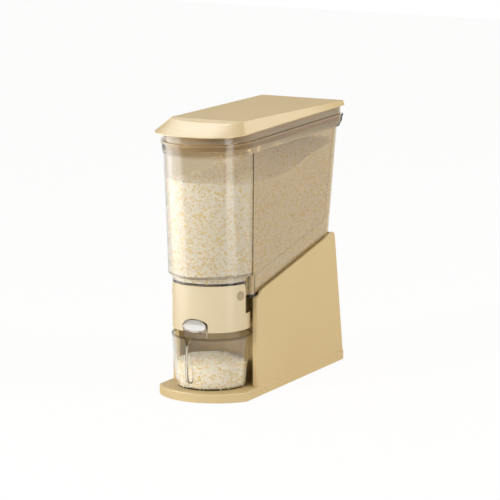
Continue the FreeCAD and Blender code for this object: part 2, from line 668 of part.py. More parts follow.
def tank_room(gap):
    """Room inside the tank below the collar and above the chute, less a gap all round."""
    wall = CLEAR_WALL + gap
    chute_rear_y = OUTLET_Y - CHUTE_REAR
    ledge_z = STEP_Z + wall
    floor = above_slope(lambda y: underside_at(y) + wall)
    front_room = box((-FAR, -FAR, SKIRT_LOW + wall), (FAR, chute_rear_y, FAR))
    rear_room = box((-FAR, chute_rear_y, 0), (FAR, FAR, FAR)).common(floor)
    skirt = skirt_block(wall, underside_at(OUTLET_Y - COVER_RADIUS), ledge_z)
    skirt = skirt.common(front_room.fuse(rear_room))
    nose = tank_nose_block(wall).common(box((-FAR, -FAR, ledge_z), (FAR, FAR, FAR))).common(floor)
    return [skirt, nose]


def rice_fill():
    """Rice in the tank, bulk form: heaped towards the rear and along the middle."""
    half = HALF_PANEL_TOP
    slices = []
    for back, height, crown in RICE_HEAP:
        y = LID_TIP_Y + back
        edge = COLLAR_Z - height
        low = [vec(half, y, edge), vec(half, y, 0), vec(-half, y, 0), vec(-half, y, edge)]
        top = Part.Arc(low[-1], vec(0, y, edge + crown), low[0]).toShape()
        slices.append(Part.Wire(Part.makePolygon(low).Edges + [top]))
    heap = Part.makeLoft(slices, True, True)
    return fuse_all([room.common(heap) for room in tank_room(RICE_GAP)])


def tank():
    shell = tank_outside()
    mouth = chute_block(0, PIVOT_Z - 2 * MOUTH_RADIUS, STEP_Z)
    for cavity in tank_room(0) + [mouth, collar_cavity(), panel_grooves()]:
        shell = shell.cut(cavity)
    for side in (-1, 1):
        hole_end = (side * PIN_INNER, PIVOT_Y, PIVOT_Z)
        shell = shell.cut(rod(PIN_RADIUS + HELD_GAP, hole_end, (side, 0, 0), FAR))
    for start, direction in cover_screw_places():
        shell = shell.cut(rod(SCREW_RADIUS + HELD_GAP, start, direction, COVER_SCREW_LENGTH))
    return shell


# ---- Outlet cover ----
def cover_screw_places():
    """Start point outside the cover's rear band, and inward direction, of each screw."""
    reach = COVER_RADIUS + COVER_SCREW_PROUD
    z = COVER_BAND_TOP - SPIGOT_DROP / 2
    places = []
    for angle in COVER_SCREW_ANGLES:
        across = math.cos(math.radians(angle))
        back = math.sin(math.radians(angle))
        places.append(((reach * across, OUTLET_Y + reach * back, z), (-across, -back, 0)))
    return places


def cover_screws():
    screws = []
    for start, direction in cover_screw_places():
        head = rod(COVER_SCREW_HEAD, start, direction, 2 * COVER_SCREW_PROUD)
        shank = rod(SCREW_RADIUS, start, direction, COVER_SCREW_LENGTH)
        screws.append(head.fuse(shank).removeSplitter())
    return Part.makeCompound(screws)


def cover_side_view():
    """Upright front shell and the low band that runs on round the back."""
    front = OUTLET_Y - 2 * COVER_RADIUS
    edge = OUTLET_Y - COVER_REAR_EDGE
    back = OUTLET_Y + 2 * COVER_RADIUS
    points = [(front, COVER_BOTTOM), (front, COVER_TOP), (edge, COVER_TOP), (edge, COVER_BAND_TOP),
              (back, COVER_BAND_TOP), (back, COVER_BOTTOM)]
    prism = side_prism(points)
    return round_edges(prism, COVER_CORNER,
                       lambda e: runs_along_x(e) and abs(e.BoundBox.YMin - edge) < TINY
                       and e.BoundBox.ZMin > COVER_TOP - TINY)


def oval_block(half_width, half_height, length):
    """Oval bar along +Y, with its face at the origin."""
    oval = Part.Ellipse(vec(half_width, 0, 0), vec(0, half_height, 0), vec(0, 0, 0)).toShape()
    block = Part.Face(Part.Wire([oval])).extrude(vec(0, 0, length))
    block.rotate(vec(0, 0, 0), vec(1, 0, 0), -90)
    return block


def button_arch():
    """Notch in the cover's lower front that the button moves through."""
    half_width = BUTTON_HALF_WIDTH + ARCH_GAP
    front = OUTLET_Y - 1.5 * COVER_RADIUS
    notch = oval_block(half_width, BUTTON_HALF_HEIGHT + ARCH_GAP, COVER_RADIUS)
    notch.translate(vec(0, front, BUTTON_Z))
    return notch.fuse(box((-half_width, front, 0), (half_width, front + COVER_RADIUS, BUTTON_Z)))


def outlet_cover():
    shell = upright_ring(COVER_RADIUS, RING_INNER, COVER_BOTTOM, COVER_TOP)
    within = rod(COVER_RADIUS, (0, OUTLET_Y, COVER_BOTTOM), (0, 0, 1), COVER_TOP - COVER_BOTTOM)
    for side in (-1, 1):
        ear = rod(EAR_RADIUS, (side * EAR_INNER, PIVOT_Y, PIVOT_Z), (side, 0, 0), COVER_RADIUS)
        shell = shell.fuse(ear.common(within))
    shell = shell.common(cover_side_view()).cut(button_arch())
    for side in (-1, 1):
        seat = (side * PIN_SEAT_X, PIVOT_Y, PIVOT_Z)
        shell = shell.cut(rod(PIN_HEAD_RADIUS + SLIP_GAP, seat, (side, 0, 0), COVER_RADIUS))
        shell = shell.cut(rod(PIN_RADIUS + HELD_GAP, seat, (-side, 0, 0), COVER_RADIUS))
    for start, direction in cover_screw_places():
        shell = shell.cut(rod(SCREW_RADIUS + SLIP_GAP, start, direction, COVER_SCREW_LENGTH))
        shell = shell.cut(rod(COVER_SCREW_HEAD + SLIP_GAP, start, direction, 2 * COVER_SCREW_PROUD))
    return shell.removeSplitter()


# ---- Shutter and button ----
def pivot_sector(front_deg, rear_deg, radius, half_width):
    """Pie slice about the pivot, hanging down, given by angles from straight down."""
    def at(degrees, reach):
        a = math.radians(degrees)
        return PIVOT_Y + reach * math.sin(a), PIVOT_Z - reach * math.cos(a)

    reach = 3 * radius
    points = [(PIVOT_Y, PIVOT_Z), at(-front_deg, reach), at(0, reach), at(rear_deg, reach)]
    return side_prism(points, half_width).common(pivot_rod(radius, half_width))


def shutter():
    slab = pivot_sector(SHUTTER_FRONT_DEG, SHUTTER_REAR_DEG, SHUTTER_OUTER, ARM_OUTER)
    tray = slab.cut(pivot_rod(SHUTTER_INNER, ARM_INNER))
    tray = tray.common(rod(SPIGOT_OUTER, (0, OUTLET_Y, 0), (0, 0, 1), FAR))
    hub = pivot_rod(HUB_RADIUS, HUB_OUTER).cut(pivot_rod(HUB_RADIUS, ARM_INNER))
    body = fuse_all([tray, hub])
    return body.cut(pivot_rod(PIN_RADIUS + RUNNING_GAP, FAR)).removeSplitter()


def button_oval(half_width, half_height, length):
    """Oval block whose face looks forward and up, starting at the face and running back."""
    block = oval_block(half_width, half_height, length)
    block.rotate(vec(0, 0, 0), vec(1, 0, 0), -BUTTON_TILT)
    block.translate(vec(0, OUTLET_Y - COVER_RADIUS - BUTTON_PROUD, BUTTON_Z))
    return block


def press_button():
    half_tongue = BUTTON_HALF_WIDTH - BUTTON_RIM / 2
    block = button_oval(BUTTON_HALF_WIDTH, BUTTON_HALF_HEIGHT, COVER_RADIUS / 2)
    dish = button_oval(BUTTON_HALF_WIDTH - BUTTON_RIM, BUTTON_HALF_HEIGHT - BUTTON_RIM, BUTTON_DISH)
    tongue = upright_ring(COVER_RADIUS, COVER_RADIUS - TONGUE_WALL, CUP_RIM_Z + BUTTON_SKIRT_GAP, BUTTON_Z)
    tongue = tongue.common(box((-half_tongue, -FAR, 0), (half_tongue, OUTLET_Y, FAR)))
    body = block.fuse(tongue).cut(dish)
    return body.cut(pivot_rod(SHUTTER_OUTER, FAR)).removeSplitter()


def button_cap():
    """Oval inlay in the button's dish, with a hollow face."""
    half_width = BUTTON_HALF_WIDTH - BUTTON_RIM - SLIP_GAP
    half_height = BUTTON_HALF_HEIGHT - BUTTON_RIM - SLIP_GAP
    cap = button_oval(half_width, half_height, BUTTON_DISH)
    face = button_oval(half_width, half_height, BUTTON_DISH - CAP_THICKNESS)
    bowl_radius = (half_height ** 2 + CAP_HOLLOW ** 2) / (2 * CAP_HOLLOW)
    bowl_y = BUTTON_DISH - CAP_THICKNESS + CAP_HOLLOW - bowl_radius
    bowl = rod(bowl_radius, (-FAR, bowl_y, 0), (1, 0, 0), 2 * FAR)
    bowl.rotate(vec(0, 0, 0), vec(1, 0, 0), -BUTTON_TILT)
    bowl.translate(vec(0, OUTLET_Y - COVER_RADIUS - BUTTON_PROUD, BUTTON_Z))
    return cap.cut(face).cut(bowl)


def pivot_pin(side):
    """Pin with a wide head that follows the cover's curve."""
    middle = (side * PIN_SEAT_X, PIVOT_Y, PIVOT_Z)
    surface = COVER_RADIUS + PIN_HEAD_PROUD
    head = rod(PIN_HEAD_RADIUS, middle, (side, 0, 0), COVER_RADIUS)
    head = head.common(rod(surface, (0, OUTLET_Y, 0), (0, 0, 1), FAR))
    ring = rod(PIN_RING_RADIUS, middle, (side, 0, 0), COVER_RADIUS)
    ring = ring.cut(rod(PIN_RING_RADIUS - PIN_RING_WIDTH, middle, (side, 0, 0), COVER_RADIUS))
    ring = ring.cut(rod(surface - PIN_RING_DEPTH, (0, OUTLET_Y, 0), (0, 0, 1), FAR))
    shaft = rod(PIN_RADIUS, middle, (-side, 0, 0), PIN_SEAT_X - PIN_INNER)
    return head.cut(ring).fuse(shaft).removeSplitter()


def return_spring(side):
    """Torsion coil round the pin, between the shutter's hub and the cover's ear, with two legs."""
    start_x = HUB_OUTER + SPRING_WIRE + SPRING_END_GAP
    end_x = EAR_INNER - SPRING_WIRE - SPRING_END_GAP
    pitch = (end_x - start_x) / SPRING_TURNS
    coil = Part.makeHelix(pitch, end_x - start_x, SPRING_COIL)
    first = vec(SPRING_COIL, 0, 0)
    last = vec(SPRING_COIL, 0, end_x - start_x)
    along = vec(0, SPRING_LEG, 0)
    legs = [Part.makeLine(first - along, first), Part.makeLine(last, last + along)]
    path = Part.Wire(legs[:1] + coil.Edges + legs[1:])
    disc = Part.Wire([Part.makeCircle(SPRING_WIRE, first - along, along)])
    spring = path.makePipeShell([disc], True, True)
    spring.rotate(vec(0, 0, 0), vec(0, 1, 0), 90)
    spring.translate(vec(start_x, PIVOT_Y, PIVOT_Z))
    return spring if side > 0 else spring.mirror(vec(0, 0, 0), vec(1, 0, 0))


# ---- Lid ----
def lid_facet_at(y):
    """Height of the facet in front of the crease across the lid's top."""
    return lid_top_at(LID_CREASE_Y) - LID_FACET_FALL * (LID_CREASE_Y - y)


def lid_block(inset, low_z):
    """Lid form: level edge below, a top that rises to a crease and falls in front of it, sloping sides."""
    shoulder_z = LID_EDGE_Z + LID_EDGE_BAND
    corner_y = LID_TIP_Y + LID_CORNER
    rear_y = REAR_Y - inset
    half = HALF_LID - inset
    half_top = LID_TOP_HALF_FRONT - inset
    top_tip = LID_CREASE_Y - LID_TOP_CORNER + inset
    edge = [plan_wire(half, LID_TIP_Y + inset, corner_y, LID_FULLNESS, rear_y, LID_REAR_RADIUS, level(z))
            for z in (low_z, shoulder_z)]

    def closed(edges, half_width, y, height):
        chord = Part.makeLine(vec(half_width, y, height(y)), vec(-half_width, y, height(y)))
        return Part.Wire(edges + [chord])

    def facet(y):
        return lid_facet_at(y) - inset

    def top(y):
        return lid_top_at(y) - inset

    shoulder = level(shoulder_z)
    low_nose = nose_edges(half, LID_TIP_Y + inset, corner_y, LID_FULLNESS, shoulder)
    high_nose = nose_edges(half_top, top_tip, LID_CREASE_Y, LID_TOP_FULLNESS, facet)
    nose = loft(closed(low_nose, half, corner_y, shoulder),
                closed(high_nose, half_top, LID_CREASE_Y, facet))
    low_tail = tail_edges(half, corner_y, rear_y, LID_REAR_RADIUS, shoulder, half)
    high_tail = tail_edges(half_top, LID_CREASE_Y, rear_y - LID_TOP_REAR_INSET, LID_REAR_RADIUS, top,
                           LID_TOP_HALF_REAR - inset)
    tail = loft(closed(low_tail, half, corner_y, shoulder), closed(high_tail, half_top, LID_CREASE_Y, top))
    return fuse_all([loft(*edge), nose, tail])


def lid_shell():
    return lid_block(0, LID_EDGE_Z).cut(lid_block(LID_WALL, LID_EDGE_Z - 1))


def lid_plug():
    """Inner pan: a plate that closes the shell and rests on the rim, with a ring that enters it."""
    low = RIM_TOP + SEAT_GAP
    slab = box((-FAR, -FAR, low), (FAR, FAR, low + PLUG_PLATE))
    plate = lid_block(LID_WALL + SLIP_GAP, LID_EDGE_Z).common(slab)
    ring = rim_bore(PLUG_GAP, PLUG_BOTTOM, low + PLUG_PLATE / 2)
    ring = ring.cut(rim_bore(PLUG_GAP + PLUG_WALL, PLUG_BOTTOM - 1, low))
    groove = rim_bore(0, GASKET_Z, GASKET_Z + GASKET_HEIGHT)
    groove = groove.cut(rim_bore(PLUG_GAP + GASKET_DEPTH, GASKET_Z, GASKET_Z + GASKET_HEIGHT))
    return plate.fuse(ring).removeSplitter().cut(groove)


def lid_gasket():
    low = GASKET_Z + SLIP_GAP
    high = GASKET_Z + GASKET_HEIGHT - SLIP_GAP
    body = rim_bore(PLUG_GAP / 2, low, high)
    lips = rim_bore(SEAT_GAP, low, low + GASKET_LIP).fuse(rim_bore(SEAT_GAP, high - GASKET_LIP, high))
    inside = rim_bore(PLUG_GAP + GASKET_DEPTH - SLIP_GAP, low - 1, high + 1)
    return body.fuse(lips).cut(inside).removeSplitter()


# ---- Measuring cup ----
def cup_cone(inset, low, high):
    lean = (CUP_RIM_RADIUS - CUP_FOOT_RADIUS) / CUP_HEIGHT
    r0 = CUP_FOOT_RADIUS + lean * (low - CUP_Z) - inset
    r1 = CUP_FOOT_RADIUS + lean * (high - CUP_Z) - inset
    return Part.makeCone(r0, r1, high - low, vec(0, OUTLET_Y, low), vec(0, 0, 1))


def spout_place(reach):
    a = math.radians(SPOUT_ANGLE)
    return -reach * math.sin(a), OUTLET_Y - reach * math.cos(a)


def spout_bar(radius):
    x, y = spout_place(CUP_RIM_RADIUS - SPOUT_AXIS_INSET)
    low = CUP_Z + SPOUT_BOTTOM + SPOUT_RADIUS
    bar = rod(radius, (x, y, low), (0, 0, 1), CUP_RIM_Z - low)
    return bar.fuse(Part.makeSphere(radius, vec(x, y, low)))


def spout_notch():
    """Upright V cut across the rim at the spout."""
    half = NOTCH_WIDTH / 2
    face = Part.Face(Part.makePolygon([vec(-half, 0, CUP_RIM_Z + 1), vec(half, 0, CUP_RIM_Z + 1),
                                       vec(0, 0, CUP_RIM_Z - NOTCH_DEPTH), vec(-half, 0, CUP_RIM_Z + 1)]))
    wedge = face.extrude(vec(0, -3 * SPOUT_RADIUS, 0))
    wedge.translate(vec(0, -CUP_RIM_RADIUS + 2 * SPOUT_RADIUS, 0))
    wedge.rotate(vec(0, 0, 0), vec(0, 0, 1), -SPOUT_ANGLE)
    wedge.translate(vec(0, OUTLET_Y, 0))
    return wedge


def measuring_cup():
    outer = cup_cone(0, CUP_Z, CUP_RIM_Z)
    outer = round_edges(outer, CUP_FOOT_ROUND, lambda e: e.BoundBox.ZMax < CUP_Z + 1e-3)
    outer = outer.fuse(spout_bar(SPOUT_RADIUS))
    inner = cup_cone(CUP_WALL, CUP_Z + CUP_FLOOR, CUP_RIM_Z + 1)
    channel = spout_bar(SPOUT_RADIUS - CUP_WALL)
    channel = channel.fuse(rod(SPOUT_RADIUS - CUP_WALL, spout_place(CUP_RIM_RADIUS - SPOUT_AXIS_INSET)
                               + (CUP_RIM_Z - 1,), (0, 0, 1), 3))
    cup = outer.cut(inner).cut(channel)
    return cup.cut(spout_notch()).removeSplitter()


# ---- Write every node ----
def nodes():
    """Node name and shape, in the order they are written."""
    parts = {"base_plate": base_plate(), "base_screws": base_screws(), "pedestal_shell": pedestal(),
             "tank": tank(), "tank_rim": tank_rim(), "rice_fill": rice_fill(),
             "outlet_cover": outlet_cover(), "cover_screws": cover_screws(),
             "shutter": shutter(), "press_button": press_button(), "button_cap": button_cap(),
             "pivot_pin_left": pivot_pin(-1), "pivot_pin_right": pivot_pin(1),
             "return_spring_left": return_spring(-1), "return_spring_right": return_spring(1),
             "lid_shell": lid_shell(), "lid_plug": lid_plug(), "lid_gasket": lid_gasket(),
             "measuring_cup": measuring_cup()}
    for name, place in foot_places().items():
        parts[name] = foot(*place)
    for name, place in pad_places().items():
        parts[name] = tank_pad(*place)
    return parts


def main():
    os.makedirs("parts", exist_ok=True)
    for name, shape in nodes().items():
        shape.exportStep("parts/" + name + ".step")
        b = shape.BoundBox
        print(f"{name:22s} solids {len(shape.Solids)} valid {shape.isValid()} vol {shape.Volume:9.0f} "
              f"x {b.XMin:.1f} {b.XMax:.1f} y {b.YMin:.1f} {b.YMax:.1f} z {b.ZMin:.1f} {b.ZMax:.1f}")


main()
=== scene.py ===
"""Looks of the rice dispenser: camera, light, materials, and the rice in the tank and the cup."""

import math
import random

import bpy
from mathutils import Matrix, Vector


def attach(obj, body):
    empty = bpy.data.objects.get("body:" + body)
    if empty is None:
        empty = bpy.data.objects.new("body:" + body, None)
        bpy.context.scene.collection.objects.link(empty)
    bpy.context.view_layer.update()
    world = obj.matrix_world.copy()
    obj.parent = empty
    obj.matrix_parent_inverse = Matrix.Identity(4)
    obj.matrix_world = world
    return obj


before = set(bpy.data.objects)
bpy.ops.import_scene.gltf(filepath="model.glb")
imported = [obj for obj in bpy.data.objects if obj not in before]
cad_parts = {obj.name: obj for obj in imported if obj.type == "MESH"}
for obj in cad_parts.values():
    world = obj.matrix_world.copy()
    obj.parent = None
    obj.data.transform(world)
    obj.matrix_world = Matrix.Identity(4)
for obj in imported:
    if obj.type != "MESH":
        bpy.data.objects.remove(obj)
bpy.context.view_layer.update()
MM = 0.001

# ---- Camera: degrees and metres, and millimetres for the lens and the sensor ----
CAMERA_AZIMUTH = 25.84
CAMERA_ELEVATION = 10.31
CAMERA_DISTANCE = 5.53736
CAMERA_AIM = (0.0, 0.01425, 0.18174)
CAMERA_LENS = 285.13
CAMERA_SENSOR = 36.0
CAMERA_REACH = 50.0

# ---- Light and floor ----
WHITE = (1.0, 1.0, 1.0)
WORLD_COLOR = (1.0, 0.965, 0.91)
SIDE_LIGHT = 0.82
TOP_LIGHT = 0.38
KEY_COLOR = (0.97, 0.98, 1.0)
FILL_COLOR = (1.0, 0.96, 0.87)
CARD_FADE = 0.35               # share of a card's width and height over which each edge fades
FLOOR_HALF = 4.0               # metres
FLOOR_COLOR = (0.9, 0.9, 0.9)
FLOOR_GLOW = 1.05
FLOOR_GLOW_SHARE = 0.86        # the rest of what the floor shows is its lit surface

# ---- Colours: a pair holds the two tones that a moulding drifts between ----
CREAM = ((0.732, 0.556, 0.275), (0.752, 0.576, 0.292))
# Painted light: the cover's paler cream stands in for the light on its front
LIT_COVER_CREAM = ((0.775, 0.640, 0.410), (0.795, 0.660, 0.430))
PLUG_CREAM = ((0.72, 0.56, 0.31), (0.75, 0.59, 0.33))
SHEEN_SHARE = 0.08
SHEEN_DRIFT = 0.03             # how far the sheen's roughness drifts either way
# Painted light and shade in the tank's tint: the paler nose stands in for its lit front, the darker, warmer
# sides for their shade, and the deep collar for the shade under the lid
LIT_NOSE_TINT = (0.805, 0.765, 0.69)
SHADED_SIDE_TINT = (0.695, 0.60, 0.43)
COLLAR_SHADE_TINT = (0.50, 0.41, 0.26)
# Painted shade: the rim's darker tint stands in for the shadowed gap under the lid
RIM_SHADE_TINT = (0.60, 0.51, 0.36)
TANK_DEPTH_TINT = (0.63, 0.475, 0.237)
CUP_TINT = (0.91, 0.87, 0.79)
# Painted shade: a deeper tint for the dark line along the cup's rim
CUP_RIM_SHADE_TINT = (0.50, 0.42, 0.30)
CUP_DEPTH_TINT = (0.72, 0.64, 0.48)
SHADOW_TINT = (0.99, 0.985, 0.97)
CLEAR_IOR = 1.49
BUTTON_GREY = (0.56, 0.54, 0.50)
PIN_CREAM = (0.52, 0.42, 0.26)
SILICONE_CREAM = (0.70, 0.66, 0.58)
FOOT_BLACK = (0.030, 0.029, 0.028)
ZINC_GREY = (0.62, 0.62, 0.63)
RICE_WHITE = (0.97, 0.96, 0.93)

# ---- Where the clear plastic's painted light and shade change, in millimetres ----
NOSE_LIGHT_FADE_Y = (-120.0, -98.0)
COLLAR_SHADE_FADE_Z = (336.0, 344.0)
CUP_RIM_SHADE_Z = (83.0, 86.0)

# ---- The cup that the rice lies in, in millimetres, as in part.py ----
OUTLET_Y = -106.5
CUP_Z = 13.9
CUP_HEIGHT = 73.4
CUP_FOOT_RADIUS = 48.6
CUP_RIM_RADIUS = 55.3
CUP_WALL = 1.8
CUP_FLOOR = 2.4

# ---- The rice in the cup, in millimetres ----
RICE_WALL_GAP = 0.9
RICE_FLOOR_GAP = 0.4
CUP_LEVEL = 48.0               # where the rice meets the wall
CUP_CROWN = 9.0                # height of the heap above that
CUP_HEAP_RADIUS = 50.0
CUP_RICE_SIDES = 72
CUP_RICE_ROWS = 6
CUP_RICE_RINGS = 10
RIPPLE_ACROSS = (0.8, 0.13, 0.4)                # height, radians for each millimetre, radians at the start
RIPPLE_ALONG = (0.7, 0.12, 0.0)

# ---- One grain, in millimetres ----
GRAIN_LENGTH = (4.1, 5.6)
GRAIN_WIDTH = (1.6, 2.0)
GRAIN_BEND = (-0.12, 0.12)
GRAIN_FLATNESS = 0.82
GRAIN_SIDES = 5
GRAIN_RINGS = ((-0.24, 0.94), (0.24, 0.90))     # share of the length from the middle, share of the width

# A face is a side where its normal rises or falls less than this
STEEP = 0.6

# Sockets of a Mix node that blends two colours
MIX_SHARE, MIX_FIRST, MIX_SECOND, MIX_RESULT = 0, 6, 7, 2

# Most of a noise's values lie between these
NOISE_LOW, NOISE_HIGH = 0.3, 0.7


# ---- Nodes ----
def feed(links, socket, value):
    """Gives a socket its value: another node's output, a colour or a number."""
    if isinstance(value, bpy.types.NodeSocket):
        links.new(value, socket)
    elif isinstance(value, tuple):
        socket.default_value = (*value, 1)
    else:
        socket.default_value = value


def add_math(nodes, links, operation, first, second):
    node = nodes.new("ShaderNodeMath")
    node.operation = operation
    feed(links, node.inputs[0], first)
    feed(links, node.inputs[1], second)
    return node.outputs[0]


def add_axes(nodes, links, vector):
    split = nodes.new("ShaderNodeSeparateXYZ")
    links.new(vector, split.inputs[0])
    return split.outputs


def add_smooth_step(nodes, links, value, low, high):
    """Rises smoothly from 0 to 1 while a value goes from low to high."""
    step = nodes.new("ShaderNodeMapRange")
    step.interpolation_type = "SMOOTHSTEP"
    step.inputs["From Min"].default_value = low
    step.inputs["From Max"].default_value = high
    links.new(value, step.inputs["Value"])
    return step.outputs["Result"]


def add_shader_mix(nodes, links, share, first, second):
    mix = nodes.new("ShaderNodeMixShader")
    feed(links, mix.inputs[0], share)
    links.new(first, mix.inputs[1])
    links.new(second, mix.inputs[2])
    return mix.outputs[0]


def add_color_mix(nodes, links, share, first, second, blend_type="MIX"):
    mix = nodes.new("ShaderNodeMix")
    mix.data_type = "RGBA"
    mix.blend_type = blend_type
    feed(links, mix.inputs[MIX_SHARE], share)
    feed(links, mix.inputs[MIX_FIRST], first)
    feed(links, mix.inputs[MIX_SECOND], second)
    return mix.outputs[MIX_RESULT]


def add_noise(nodes, links, scale, detail=3.0):
    place = nodes.new("ShaderNodeTexCoord")
    noise = nodes.new("ShaderNodeTexNoise")
    noise.inputs["Scale"].default_value = scale
    noise.inputs["Detail"].default_value = detail
    links.new(place.outputs["Object"], noise.inputs["Vector"])
    return noise.outputs["Fac"]


def add_range(nodes, links, scale, low, high):
    """A number that drifts between low and high, on a noise of this scale."""
    spread = nodes.new("ShaderNodeMapRange")
    spread.inputs["From Min"].default_value = NOISE_LOW
    spread.inputs["From Max"].default_value = NOISE_HIGH
    spread.inputs["To Min"].default_value = low
    spread.inputs["To Max"].default_value = high
    links.new(add_noise(nodes, links, scale), spread.inputs["Value"])
    return spread.outputs["Result"]


def add_ramp(nodes, links, value, stops):
    ramp = nodes.new("ShaderNodeValToRGB")
    while len(ramp.color_ramp.elements) < len(stops):
        ramp.color_ramp.elements.new(0.5)
    for element, (place, color) in zip(ramp.color_ramp.elements, stops):
        element.position = place
        element.color = (*color, 1)
    links.new(value, ramp.inputs["Fac"])
    return ramp.outputs["Color"]


def add_tones(nodes, links, scale, low, high):
    """A colour that drifts between two tones, on a noise of this scale."""
    return add_ramp(nodes, links, add_noise(nodes, links, scale), [(NOISE_LOW, low), (NOISE_HIGH, high)])


def add_fade(nodes, links, axis, span, first, second):
    """Goes from one colour to the other over a span of an object's axis, in millimetres."""
    place = nodes.new("ShaderNodeTexCoord")
    axes = add_axes(nodes, links, place.outputs["Object"])
    share = add_smooth_step(nodes, links, axes[axis], span[0] * MM, span[1] * MM)
    return add_color_mix(nodes, links, share, first, second)


def add_bump(nodes, links, shader, value, strength, distance):
    bump = nodes.new("ShaderNodeBump")
    bump.inputs["Strength"].default_value = strength
    bump.inputs["Distance"].default_value = distance
    links.new(value, bump.inputs["Height"])
    links.new(bump.outputs["Normal"], shader.inputs["Normal"])


def background_rays(nodes, links):
    """1 for the rays that see the background: camera, glossy and transmission."""
    path = nodes.new("ShaderNodeLightPath")
    direct = add_math(nodes, links, "MAXIMUM", path.outputs["Is Camera Ray"], path.outputs["Is Glossy Ray"])
    return add_math(nodes, links, "MAXIMUM", direct, path.outputs["Is Transmission Ray"])


# ---- Camera, light and floor ----
def make_camera():
    azimuth, elevation = math.radians(CAMERA_AZIMUTH), math.radians(CAMERA_ELEVATION)
    away = Vector((math.sin(azimuth) * math.cos(elevation), -math.cos(azimuth) * math.cos(elevation),
                   math.sin(elevation)))
    data = bpy.data.cameras.new("camera")
    data.lens = CAMERA_LENS
    data.sensor_width = CAMERA_SENSOR
    data.clip_end = CAMERA_REACH
    camera = bpy.data.objects.new("camera", data)
    camera.location = Vector(CAMERA_AIM) + away * CAMERA_DISTANCE
    camera.rotation_euler = (-away).to_track_quat("-Z", "Y").to_euler()
    bpy.context.scene.collection.objects.link(camera)
    bpy.context.scene.camera = camera


def soften_edges(data):
    """Fades a card to nothing towards its four edges."""
    data.use_nodes = True
    nodes, links = data.node_tree.nodes, data.node_tree.links
    axes = add_axes(nodes, links, nodes.new("ShaderNodeNewGeometry").outputs["Parametric"])
    shares = []
    for axis in "XY":
        rest = add_math(nodes, links, "SUBTRACT", 1.0, axes[axis])
        nearest_edge = add_math(nodes, links, "MINIMUM", axes[axis], rest)
        shares.append(add_smooth_step(nodes, links, nearest_edge, 0.0, CARD_FADE))
    links.new(add_math(nodes, links, "MULTIPLY", *shares), nodes["Emission"].inputs["Strength"])


def area_light(name, place, aim, size, power, color=WHITE, card=False):
    """A lamp; a card is a studio reflector that only shows up in glossy surfaces."""
    data = bpy.data.lights.new(name, "AREA")
    data.shape = "RECTANGLE"
    data.size, data.size_y = size
    data.energy = power
    data.color = color
    if card:
        soften_edges(data)
    lamp = bpy.data.objects.new(name, data)
    lamp.location = place
    lamp.rotation_euler = (Vector(aim) - Vector(place)).to_track_quat("-Z", "Y").to_euler()
    lamp.visible_camera = False
    lamp.visible_diffuse = not card
    lamp.visible_transmission = not card
    lamp.visible_volume_scatter = not card
    bpy.context.scene.collection.objects.link(lamp)


def make_lamps():
    """Two lamps, two cards beside the object and two behind it."""
    area_light("key", place=(-1.3, -2.6, 1.1), aim=(0.0, -0.1, 0.2), size=(1.2, 1.2), power=35.0,
               color=KEY_COLOR)
    area_light("side_fill", place=(2.4, 0.3, 1.25), aim=(0.0, 0.0, 0.2), size=(1.2, 1.2), power=16.2,
               color=FILL_COLOR)
    area_light("left_card", place=(-0.50, -0.36, 0.42), aim=(0.0, -0.36, 0.42), size=(0.90, 1.10),
               power=15.0, card=True)
    area_light("right_card", place=(0.45, -0.19, 0.42), aim=(0.0, -0.19, 0.42), size=(0.22, 1.00),
               power=3.0, card=True)
    area_light("back_card", place=(-0.48, 1.10, 1.36), aim=(0.0, -0.15, 0.38), size=(1.9, 0.70),
               power=48.0, card=True)
    area_light("right_back_card", place=(0.41, 1.33, 0.94), aim=(0.0, 0.0, 0.38), size=(0.90, 0.56),
               power=8.5, card=True)


def make_world():
    """Soft light, weaker from straight above than from the sides; white where it is seen."""
    world = bpy.data.worlds.new("studio")
    bpy.context.scene.world = world
    world.use_nodes = True
    nodes, links = world.node_tree.nodes, world.node_tree.links
    nodes.clear()
    axes = add_axes(nodes, links, nodes.new("ShaderNodeTexCoord").outputs["Generated"])
    fade = nodes.new("ShaderNodeMapRange")
    fade.inputs["To Min"].default_value = SIDE_LIGHT
    fade.inputs["To Max"].default_value = TOP_LIGHT
    links.new(axes["Z"], fade.inputs["Value"])
    light = nodes.new("ShaderNodeBackground")
    feed(links, light.inputs["Color"], WORLD_COLOR)
    links.new(fade.outputs["Result"], light.inputs["Strength"])
    seen = nodes.new("ShaderNodeBackground")
    feed(links, seen.inputs["Color"], WHITE)
    out = nodes.new("ShaderNodeOutputWorld")
    share = background_rays(nodes, links)
    links.new(add_shader_mix(nodes, links, share, light.outputs[0], seen.outputs[0]), out.inputs["Surface"])


def make_floor():
    """Pale floor that glows where it is seen and still keeps a little of the object's shadow."""
    half = FLOOR_HALF
    mesh = bpy.data.meshes.new("floor")
    mesh.from_pydata([(-half, -half, 0), (half, -half, 0), (half, half, 0), (-half, half, 0)], [],
                     [(0, 1, 2, 3)])
    floor = bpy.data.objects.new("floor", mesh)
    bpy.context.scene.collection.objects.link(floor)
    material = bpy.data.materials.new("floor")
    material.use_nodes = True
    nodes, links = material.node_tree.nodes, material.node_tree.links
    nodes.clear()
    lit = nodes.new("ShaderNodeBsdfDiffuse")
    feed(links, lit.inputs["Color"], FLOOR_COLOR)
    glow = nodes.new("ShaderNodeEmission")
    glow.inputs["Strength"].default_value = FLOOR_GLOW
    out = nodes.new("ShaderNodeOutputMaterial")
    share = add_math(nodes, links, "MULTIPLY", background_rays(nodes, links), FLOOR_GLOW_SHARE)
    links.new(add_shader_mix(nodes, links, share, lit.outputs[0], glow.outputs[0]), out.inputs["Surface"])
    mesh.materials.append(material)


# ---- Materials ----
def start_material(name):
    material = bpy.data.materials.new(name)
    material.use_nodes = True
    nodes, links = material.node_tree.nodes, material.node_tree.links
    return material, nodes, links, nodes["Principled BSDF"]


